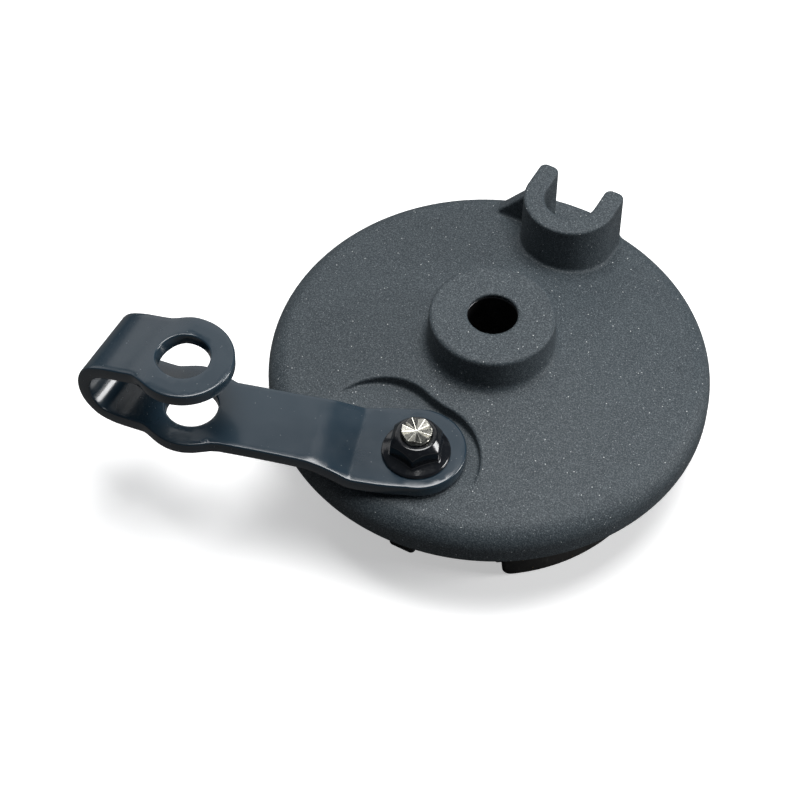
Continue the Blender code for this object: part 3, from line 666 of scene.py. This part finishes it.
def build_plate():
    plate = surface("plate_casting", plate_field, (-47.2, -47.2, -2.6), (47.2, 47.2, 24.0), 0.38, COAT)
    place(plate, "plate", "plate_coat", "backing_plate")
    outer = SLEEVE_R - 0.05
    profile = [(BORE_R, SLEEVE_FOOT_Z), (outer, SLEEVE_FOOT_Z), (outer, SLEEVE_TOP_Z),
               (BORE_R, SLEEVE_TOP_Z)]
    sleeve = lathe("sleeve", soft_corners(profile, 0.4), SLEEVE)
    place(sleeve, "plate", "sleeve_steel", "axle_sleeve")


# --- lever --------------------------------------------------------------------------------------
# Mid-thickness line of the return fold, (x, z), from the lower arm round to the upper eye.
FOLD_LINE = [(-48.0, 13.55), (-51.0, 13.3), (-55.0, 12.4), (-59.0, 11.7), (-62.2, 12.1),
             (-64.5, 14.2), (-65.5, 17.2), (-65.2, 20.6), (-63.6, 23.5), (-60.2, 25.6),
             (-56.0, 27.2), (-52.4, 28.6), (-49.4, 29.3), (-46.0, 29.3), (-34.0, 29.3)]


def spline(points, steps):
    """Catmull-Rom curve through points."""
    ends = [points[0]] + list(points) + [points[-1]]
    curve = []
    for i in range(1, len(ends) - 2):
        a, b, c, d = (np.array(p, float) for p in ends[i - 1:i + 3])
        for k in range(steps):
            t = k / steps
            curve.append(0.5 * (2 * b + (c - a) * t + (2 * a - 5 * b + 4 * c - d) * t ** 2
                                + (3 * b - a - 3 * c + d) * t ** 3))
    curve.append(np.array(points[-1], float))
    return np.array(curve)


class Fold:
    """Arc-length look-up along the fold's mid line."""

    def __init__(self):
        self.points = spline(FOLD_LINE, 24)
        gaps = np.hypot(*np.diff(self.points, axis=0).T)
        self.length = np.concatenate([[0.0], np.cumsum(gaps)])

    def at(self, s):
        return np.array([np.interp(s, self.length, self.points[:, k]) for k in (0, 1)])

    def place(self, s, offset):
        """Point at arc length s, moved off the mid line; positive is the inner side of the fold."""
        ahead, behind = self.at(s + 0.5), self.at(s - 0.5)
        t = (ahead - behind) / np.hypot(*(ahead - behind))
        p = self.at(s)
        return p[0] + t[1] * offset, p[1] - t[0] * offset

    def returning(self, x):
        """Arc length at which the upper leaf is back at the given x."""
        lowest = int(np.argmin(self.points[:, 0]))
        return float(np.interp(x, self.points[lowest:, 0], self.length[lowest:]))


def arc(centre, radius, start, end, steps):
    points = []
    for k in range(steps + 1):
        a = math.radians(start + (end - start) * k / steps)
        points.append((centre[0] + radius * math.cos(a), centre[1] + radius * math.sin(a)))
    return points


def wider(a, b, soft=1.25):
    """Smooth maximum of two half-widths."""
    h = max(soft - abs(a - b), 0.0) / soft
    return max(a, b) + h * h * soft / 4.0


def arm_point(d, w):
    """Point at distance d along the arm and w to its near side."""
    return SPINDLE[0] + ARM_X * d - ARM_Y * w, SPINDLE[1] + ARM_Y * d + ARM_X * w


def arm_side(side, edge, stop):
    """Edge of the arm from the spindle towards the lower eye; side is +1 near, -1 far."""
    ex, ey = LOWER_EYE[0] - SPINDLE[0], LOWER_EYE[1] - SPINDLE[1]
    eye_d = ex * ARM_X + ey * ARM_Y
    eye_w = ey * ARM_X - ex * ARM_Y
    points = []
    for d, w in spline(edge, 8):
        if eye_d + stop - 0.4 < d:
            break
        round_part = side * eye_w + math.sqrt(max(EYE_R ** 2 - (d - eye_d) ** 2, 0.0))
        points.append(arm_point(d, side * wider(w, round_part)))
    last = side * eye_w + math.sqrt(EYE_R ** 2 - stop ** 2)
    return points + [arm_point(eye_d + stop, side * last)]


def strip_side(eye, side, start, end):
    """Edge of the strip beside an eye, from x = start to x = end; side is +1 far, -1 near."""
    points = []
    steps = max(int(abs(end - start) / 0.8), 4)
    for k in range(steps + 1):
        x = start + (end - start) * k / steps
        rise = math.sqrt(max(EYE_R ** 2 - (x - eye[0]) ** 2, 0.0))
        round_part = side * (eye[1] - STRIP_Y) + rise
        points.append((x, STRIP_Y + side * wider(STRIP_HALF, round_part)))
    return points


def lever_blank(top):
    """Flat outline of the lever; top is the upper eye's centre in the flat blank."""
    trim = EYE_R * math.sin(math.radians(LEVER_AZIMUTH - 180.0) / 2.0)
    middle = (LOWER_EYE[0] + top[0]) / 2.0
    outline = arc(arm_point(0.0, -END_SHIFT), END_R, LEVER_AZIMUTH + 94.0, LEVER_AZIMUTH + 266.0, 48)
    outline += arm_side(-1, FAR_EDGE, -trim)[1:]
    outline += strip_side(LOWER_EYE, 1, LOWER_EYE[0] - trim, middle)[1:]
    outline += strip_side(top, 1, middle, top[0])[1:-1]
    outline += arc(top, EYE_R, 90.0, 270.0, 56)
    outline += strip_side(top, -1, top[0], middle)[1:]
    outline += strip_side(LOWER_EYE, -1, middle, LOWER_EYE[0])[1:]
    outline += arc(LOWER_EYE, EYE_R, 270.0, LEVER_AZIMUTH + 90.0, 6)[1:-1]
    outline += reversed(arm_side(1, NEAR_EDGE, 0.0)[1:])
    return outline


def inside(point, loop):
    hit = False
    for (ax, ay), (bx, by) in zip(loop, loop[1:] + loop[:1]):
        crosses = (ay > point[1]) != (by > point[1])
        if crosses and point[0] < (bx - ax) * (point[1] - ay) / (by - ay) + ax:
            hit = not hit
    return hit


def clear_of(p, loops, gap):
    """True where p is further than gap from every point of the loops."""
    return all(np.min(np.hypot(loop[:, 0] - p[0], loop[:, 1] - p[1])) >= gap for loop in loops)


def grid_points(top):
    """Points inside the blank, close together across the joggle and round the fold."""
    points = []
    d = -8.0
    while d < 46.0:
        bending = JOGGLE_FROM - 2.2 < d < JOGGLE_TO + 2.2
        points += [arm_point(d, w) for w in np.arange(-9.8, 9.81, 1.4)]
        d += 0.35 if bending else 1.4
    points = [p for p in points if p[0] > LOWER_EYE[0]]
    x = LOWER_EYE[0]
    while x > top[0] - 9.0:
        points += [(x, STRIP_Y + w) for w in np.arange(-9.8, 9.81, 1.4)]
        x -= 0.7
    return points


def cut_blank(outline, holes, extra):
    """Triangulated sheet inside the outline and outside the holes: points and faces."""
    loops = [outline] + holes
    points = []
    edges = []
    for loop in loops:
        first = len(points)
        points.extend(Vector(p) for p in loop)
        edges.extend((first + k, first + (k + 1) % len(loop)) for k in range(len(loop)))
    arrays = [np.array(loop) for loop in loops]
    for p in extra:
        on_sheet = inside(p, outline) and not any(inside(p, hole) for hole in holes)
        if on_sheet and clear_of(p, arrays, 0.85):
            points.append(Vector(p))
    flat, _, faces, _, _, _ = delaunay_2d_cdt(points, edges, [], 0, 1e-5)
    kept = []
    for face in faces:
        c = sum((flat[i] for i in face), Vector((0.0, 0.0))) / len(face)
        if inside(c, outline) and not any(inside(c, hole) for hole in holes):
            kept.append(face)
    used = sorted({i for face in kept for i in face})
    index = {v: k for k, v in enumerate(used)}
    return [flat[i] for i in used], [[index[i] for i in face] for face in kept]


def arm_height(d):
    """Mid-thickness height of the arm at distance d from the spindle, and its slope."""
    t = (d - JOGGLE_FROM) / (JOGGLE_TO - JOGGLE_FROM)
    near, far = JOGGLE_NEAR_BEND, JOGGLE_FAR_BEND
    if t <= -near:
        rise, slope = 0.0, 0.0
    elif t >= 1.0 + far:
        rise, slope = 1.0, 0.0
    elif t < near:
        rise, slope = (t + near) ** 2 / (4.0 * near), (t + near) / (2.0 * near)
    elif t > 1.0 - far:
        rise, slope = 1.0 - (1.0 + far - t) ** 2 / (4.0 * far), (1.0 + far - t) / (2.0 * far)
    else:
        rise, slope = t, 1.0
    z = LEVER_BOTTOM_Z + LEVER_T / 2.0 + JOGGLE_RISE * rise
    return z, JOGGLE_RISE * slope / (JOGGLE_TO - JOGGLE_FROM)


def bent(p, fold, side):
    """Place a blank point in space, in metres; side is -1 for the lower skin, +1 for the upper."""
    half = side * LEVER_T / 2.0
    if p[0] < FOLD_LINE[0][0]:
        x, z = fold.place(FOLD_LINE[0][0] - p[0], half)
        return x * MM, p[1] * MM, z * MM
    z, slope = arm_height((p[0] - SPINDLE[0]) * ARM_X + (p[1] - SPINDLE[1]) * ARM_Y)
    n = math.sqrt(1.0 + slope * slope)
    lean = slope / n * half
    return (p[0] - ARM_X * lean) * MM, (p[1] - ARM_Y * lean) * MM, (z + half / n) * MM


def round_lips(obj, border, skin_size):
    """Bevel the border edges of both skins."""
    bm = bmesh.new()
    bm.from_mesh(obj.data)
    bm.verts.ensure_lookup_table()
    lips = []
    for a, b in border:
        for offset in (0, skin_size):
            lips.append(bm.edges.get((bm.verts[a + offset], bm.verts[b + offset])))
    bmesh.ops.bevel(bm, geom=[e for e in lips if e], offset=LEVER_EDGE * MM, segments=3, profile=0.5,
                    affect="EDGES", clamp_overlap=True)
    bm.to_mesh(obj.data)
    bm.free()


def build_lever():
    fold = Fold()
    top = (FOLD_LINE[0][0] - fold.returning(UPPER_EYE[0]), UPPER_EYE[1])
    rims = ((SPINDLE, 3.7, 48), (LOWER_EYE, EYE_HOLE_R, 72), (top, EYE_HOLE_R, 72))
    holes = [arc(centre, r, 0.0, 360.0, steps)[:-1] for centre, r, steps in rims]
    flat, sheet = cut_blank(lever_blank(top), holes, grid_points(top))
    verts = [bent(p, fold, side) for side in (-1.0, 1.0) for p in flat]
    n = len(flat)
    faces = [list(reversed(face)) for face in sheet] + [[i + n for i in face] for face in sheet]
    sides = dict.fromkeys((a, b) for face in sheet for a, b in zip(face, face[1:] + face[:1]))
    border = [(a, b) for a, b in sides if (b, a) not in sides]
    faces += [[a, b, b + n, a + n] for a, b in border]
    lever = mesh_object("lever", verts, faces, LEVER_COAT)
    outward(lever)
    round_lips(lever, border, n)
    lever.data.shade_smooth()
    place(lever, "cam_lever", "lever_coat", "lever_arm")


# --- nut and spindle ----------------------------------------------------------------------------
def nut_field(x, y, z):
    dx, dy = x - SPINDLE[0], y - SPINDLE[1]
    r = np.hypot(dx, dy)
    flange = both(r - 7.1, 13.1 - z, 0.35)
    flange = both(flange, (z - 13.75 - (7.1 - r) * 0.52) * 0.89, 0.3)
    sides = None
    for k in range(3):
        a = NUT_CORNER + math.radians(30.0 + 60.0 * k)
        face = np.abs(dx * math.cos(a) + dy * math.sin(a)) - NUT_FLATS / 2.0
        sides = face if sides is None else both(sides, face, 0.18)
    crown = ((r - 5.35) + (z - 17.75) * 0.85) * 0.76
    head = both(both(both(sides, z - 19.1, 0.15), crown, 0.15), 13.2 - z)
    nut = either(flange, head, 0.4)
    return minus(nut, r - 3.12, 0.3)


def thread_field(x, y, z):
    """Threaded end of the spindle with its staked, star-faced tip."""
    dx, dy = x - SPINDLE[0], y - SPINDLE[1]
    r = np.hypot(dx, dy)
    angle = np.arctan2(dy, dx)
    wave = np.mod(z - angle / (2.0 * math.pi), 1.0)
    ridge = np.abs(wave - 0.5) * 2.0
    shank = (r - 2.66 - 0.34 * np.clip(ridge * 1.3, 0.0, 1.0)) * 0.75
    star = np.mod(angle / (2.0 * math.pi) * 7.0 + 0.35, 1.0)
    facet = np.abs(star - 0.5) * 2.0
    crown = (z - 20.0 - 0.24 * r * facet) * 0.9
    collar = both(r - 3.12, 19.55 - z, 0.15)
    shank = either(shank, collar, 0.1)
    return both(both(shank, crown, 0.06), 12.9 - z)


def spindle_field(x, y, z):
    dx, dy = x - SPINDLE[0], y - SPINDLE[1]
    cam = both(both(np.abs(dx) - 3.0, np.abs(dy) - 6.0, 1.0), both(z + 2.5, -14.6 - z), 0.4)
    journal = post(x, y, z, SPINDLE, JOURNAL_R, -3.2, 9.85, 0.2)
    seat = post(x, y, z, SPINDLE, 3.5, 9.0, 13.0, 0.2)
    return either(either(cam, journal, 0.3), seat, 0.1)


def build_spindle():
    cx, cy = SPINDLE
    nut = surface("nut", nut_field, (cx - 7.2, cy - 7.2, 13.0), (cx + 7.2, cy + 7.2, 19.2), 0.15, NUT)
    place(nut, "cam_lever", "nut_finish", "flange_nut")
    tip = surface("spindle_thread", thread_field, (cx - 3.3, cy - 3.3, 12.8),
                  (cx + 3.3, cy + 3.3, 20.7), 0.09, BRIGHT)
    place(tip, "cam_lever", "spindle_steel")
    shaft = surface("spindle_shaft", spindle_field, (cx - 4.2, cy - 6.2, -16.4),
                    (cx + 4.2, cy + 6.2, 13.2), 0.25, SPINDLE_BODY)
    place(shaft, "cam_lever", "spindle_steel", "cam_spindle")


# --- rings, pin and clip ------------------------------------------------------------------------
def ring(name, mat, slot, node, centre, r_inner, r_outer, z_low, z_high, edge):
    profile = [(r_inner, z_low), (r_outer, z_low), (r_outer, z_high), (r_inner, z_high)]
    place(lathe(name, soft_corners(profile, edge), mat, centre), "plate", slot, node)


def clip_field(x, y, z):
    dx, dy = x - ANCHOR[0], y - ANCHOR[1]
    r = np.hypot(dx, dy)
    band = both(r - 6.6, 4.7 - r, 0.2)
    for degrees in (180.0, 55.0, -55.0):
        a = math.radians(degrees)
        along = dx * math.cos(a) + dy * math.sin(a)
        across = np.abs(-dx * math.sin(a) + dy * math.cos(a)) - 1.3
        lug = both(both(across, along - 5.2), 3.2 - r, 0.15)
        band = either(band, both(lug, -along), 0.5)
    mouth = both(np.abs(dy) - 2.6 - 0.25 * dx, -dx)
    band = minus(band, mouth, 0.4)
    return both(both(band, z + 16.65, 0.12), -17.2 - z, 0.12)


def build_small_parts():
    ring("bush", BRONZE, "bush_bronze", "spindle_bush", SPINDLE, 4.06, 5.12, -2.1, 6.9, 0.3)
    ring("washer_thrust", ZINC, "zinc_steel", "thrust_washer", SPINDLE, 4.1, 7.0, 8.9, 9.7, 0.2)
    ring("spacer_anchor", ZINC, "zinc_steel", "anchor_spacer", ANCHOR, 4.15, 6.8, -3.7, -2.4, 0.2)
    ring("washer_anchor", ZINC, "zinc_steel", "anchor_washer", ANCHOR, 4.15, 6.9, -16.5, -16.0, 0.15)
    seal = [(4.85 + 0.78 * math.cos(a), 7.9 + 0.78 * math.sin(a))
            for a in np.linspace(0.0, 2.0 * math.pi, 25)[:-1]]
    place(lathe("seal", seal, RUBBER, SPINDLE), "plate", "seal_rubber", "spindle_o_ring")
    pin = [(0.0, -18.1), (3.5, -18.1), (PIN_R, -17.6), (PIN_R, -17.3), (3.1, -17.3), (3.1, -16.55),
           (PIN_R, -16.55), (PIN_R, 4.2), (3.6, 4.5), (0.0, 4.5)]
    place(lathe("pin", soft_corners(pin, 0.15, 3), ZINC, ANCHOR), "plate", "zinc_steel", "anchor_pin")
    ax, ay = ANCHOR
    clip = surface("clip", clip_field, (ax - 6.8, ay - 6.8, -17.3),
                   (ax + 6.8, ay + 6.8, -16.5), 0.14, SPRING)
    place(clip, "plate", "spring_steel", "anchor_clip")


# --- shoes --------------------------------------------------------------------------------------
def sector(x, y, start, end):
    """Negative between two directions from the origin; the span is under 180 degrees."""
    a, b = math.radians(start), math.radians(end)
    return np.maximum(math.sin(a) * x - math.cos(a) * y, -math.sin(b) * x + math.cos(b) * y)


def shoe_plan(x, y, r, pin):
    """Distance to the web, seen from above, of the +X shoe."""
    web = both(both(r - 33.6, 24.6 - r), sector(x, y, -66.0, 68.0))
    heel = both(pin - 8.2, 0.55 - x)
    neck = both(both(r - 40.6, 24.6 - r), both(sector(x, y, 60.0, 89.99), 0.55 - x))
    neck = both(neck, 0.62 * x + 0.785 * y - 36.6)
    knee = both(both(4.4 - x, both(r - 37.6, -36.9 - y)), both(y + 27.0, sector(x, y, -84.0, -50.0)))
    return either(either(web, neck, 1.5), either(heel, knee, 1.0), 1.5)


def shoe_field(side):
    def field(x, y, z):
        x = side * x
        r = np.hypot(x, y)
        pin = np.hypot(x - ANCHOR[0], y - ANCHOR[1])
        depth = np.abs(z - WEB_MIDDLE_Z)
        web = both(shoe_plan(x, y, r, pin), depth - 2.0, 0.45)
        heel = both(pin - 8.2, 0.55 - x)
        toe = both(both(4.4 - x, x - 9.8, 0.6), both(y + 27.2, -36.8 - y, 0.6), 0.6)
        blocks = either(both(heel, depth - 6.0, 0.6), both(toe, depth - 2.5, 0.4))
        table = both(both(r - TABLE_R, TABLE_INNER_R - r, 0.3),
                     sector(x, y, LINING_SPAN[0] - 2.0, LINING_SPAN[1] + 2.0), 0.5)
        table = both(table, depth - 8.5, 0.5)
        body = either(either(web, blocks, 1.4), table, 1.6)
        body = minus(body, pin - 4.3, 0.2)
        body = both(body, 0.55 - x, 0.2)
        body = both(body, np.where(y < 0.0, 4.4 - x, -1.0), 0.2)
        for hole_y in SPRING_Y.values():
            body = minus(body, np.hypot(x - SPRING_HOLE_X, y - hole_y) - 1.8, 0.3)
        return body
    return field


def lining_field(side):
    def field(x, y, z):
        x = side * x
        r = np.hypot(x, y)
        band = both(r - LINING_R, TABLE_R + 0.06 - r, 0.25)
        ends = both(sector(x, y, *LINING_SPAN), SHOE_Z[0] - z, 2.2)
        ends = both(ends, z - SHOE_Z[1], 1.2)
        return both(band, ends, 0.45)
    return field


def pad_field(side):
    def field(x, y, z):
        x = side * x
        back = both(both(PAD_FACE_X - x, x - PAD_FACE_X - PAD_T), both(y + 27.3, -36.9 - y, 0.4), 0.2)
        depth = np.abs(z - WEB_MIDDLE_Z)
        back = both(back, depth - 3.6, 0.3)
        legs = both(both(x - 8.2, PAD_FACE_X - x), both(y + 27.6, -36.6 - y), 0.4)
        legs = both(legs, np.abs(depth - 3.1) - 0.5, 0.2)
        return either(back, legs, 0.5)
    return field


def build_shoes():
    for name, side in (("leading", -1), ("trailing", 1)):
        low = (0.0, -40.0, -18.6) if side > 0 else (-38.4, -40.0, -18.6)
        high = (38.4, 42.0, -1.2) if side > 0 else (0.0, 42.0, -1.2)
        shoe = surface(name + "_casting", shoe_field(side), low, high, 0.42, CASTING)
        place(shoe, name, "shoe_casting", name + "_shoe")
        lining = surface(name + "_friction", lining_field(side), low, high, 0.34, LINING)
        place(lining, name, "friction_lining", name + "_lining")
        pad = surface(name + "_toe_cap", pad_field(side), (side * 5.9 - 2.8, -38.4, -17.3),
                      (side * 5.9 + 2.8, -27.0, -2.6), 0.2, PAD_STEEL)
        place(pad, name, "zinc_steel", name + "_cam_pad")


def build_springs():
    """Each spring is two halves that meet at its middle."""
    coil_r, wire_r, turns, half = 2.9, 0.55, 9, 7.6
    axis_z = WEB_MIDDLE_Z
    hook_z = WEB_Z[1] + 0.95
    for node, y in SPRING_Y.items():
        lead = spline([(-SPRING_HOLE_X, y, -13.2), (-SPRING_HOLE_X, y, -10.0), (-18.5, y, -8.0),
                       (-17.6, y, hook_z), (-15.0, y, hook_z), (-11.0, y, hook_z),
                       (-9.0, y, hook_z)], 5)
        count = turns * 26
        t = np.arange(1, count + 1) / count
        a = 2.0 * math.pi * turns * t
        coil = np.stack([-half + 2.0 * half * t, y + coil_r * np.sin(a),
                         axis_z + coil_r * np.cos(a)], 1)
        middle = len(coil) // 2
        tail = lead[::-1] * np.array([-1.0, 1.0, 1.0])
        halves = (("left", np.concatenate([lead, coil[:middle + 1]]), "leading", -1.0),
                  ("right", np.concatenate([coil[middle:], tail]), "trailing", 1.0))
        for label, path, body, side in halves:
            wire = tube(node + "_" + label, path.tolist(), wire_r, SPRING)
            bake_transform(wire)
            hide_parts(node)


# --- stage --------------------------------------------------------------------------------------
def build_floor():
    """White paper just under the part.  Only the camera sees it white, so that it throws little
    light back up on to the dark walls."""
    floor_z = cad_box[0][2] - 0.00005
    size = 3.0
    mesh = bpy.data.meshes.new("floor")
    mesh.from_pydata([(-size, -size, floor_z), (size, -size, floor_z), (size, size, floor_z),
                      (-size, size, floor_z)], [], [(0, 1, 2, 3)])
    floor = bpy.data.objects.new("floor", mesh)
    bpy.context.scene.collection.objects.link(floor)
    p = Paint("floor_paper", (0.86, 0.86, 0.86), 0.0, 0.85, Specular_IOR_Level=0.2)
    paper = p.blend(p.noise(8.0, 2.0), (0.85, 0.85, 0.85), (0.88, 0.88, 0.88))
    seen = p.add("ShaderNodeLightPath").outputs["Is Camera Ray"]
    p.set("Base Color", p.blend(seen, (0.12, 0.12, 0.12), paper))
    p.set("Emission Color", p.blend(seen, (0.0, 0.0, 0.0), (1.0, 1.0, 1.0)))
    p.shader.inputs["Emission Strength"].default_value = 0.45
    mesh.materials.append(p.mat)


def build_light():
    """Dim cool surroundings, a soft key overhead, a broad sheet behind and a light to each side."""
    world = bpy.data.worlds.new("studio")
    world.use_nodes = True
    background = world.node_tree.nodes["Background"]
    background.inputs["Color"].default_value = (0.78, 0.88, 1.0, 1.0)
    background.inputs["Strength"].default_value = 0.06
    bpy.context.scene.world = world
    bpy.context.scene.view_settings.view_transform = "Standard"

    lights = [("key", (0.05, 0.12, 1.16), 0.70, 15.5), ("back", (-0.66, 0.84, 0.66), 1.10, 3.4),
              ("left", (-0.95, 0.10, 0.30), 0.45, 0.6), ("right", (0.90, 0.48, 0.34), 0.42, 7.5)]
    for name, position, size, power in lights:
        data = bpy.data.lights.new(name, "AREA")
        data.shape = "SQUARE"
        data.size = size
        data.energy = power
        light = bpy.data.objects.new(name, data)
        bpy.context.scene.collection.objects.link(light)
        light.location = position
        light.rotation_euler = (-Vector(position)).to_track_quat("-Z", "Y").to_euler()


def build_camera():
    azimuth, elevation, roll = math.radians(28.0), math.radians(52.6), math.radians(1.12)
    aim = Vector((-0.0132, -0.0154, 0.0020))
    distance = 0.572
    back = Vector((math.sin(azimuth) * math.cos(elevation),
                   -math.cos(azimuth) * math.cos(elevation), math.sin(elevation)))
    data = bpy.data.cameras.new("camera")
    data.lens = 121.5
    data.sensor_width = 36.0
    data.clip_start = 0.01
    camera = bpy.data.objects.new("camera", data)
    bpy.context.scene.collection.objects.link(camera)
    turn = (-back).to_track_quat("-Z", "Y").to_matrix() @ Matrix.Rotation(roll, 3, "Z")
    camera.matrix_world = Matrix.Translation(aim + back * distance) @ turn.to_4x4()
    bpy.context.scene.camera = camera


build_plate()
build_lever()
build_spindle()
build_small_parts()
build_shoes()
build_springs()
build_floor()
build_light()
build_camera()
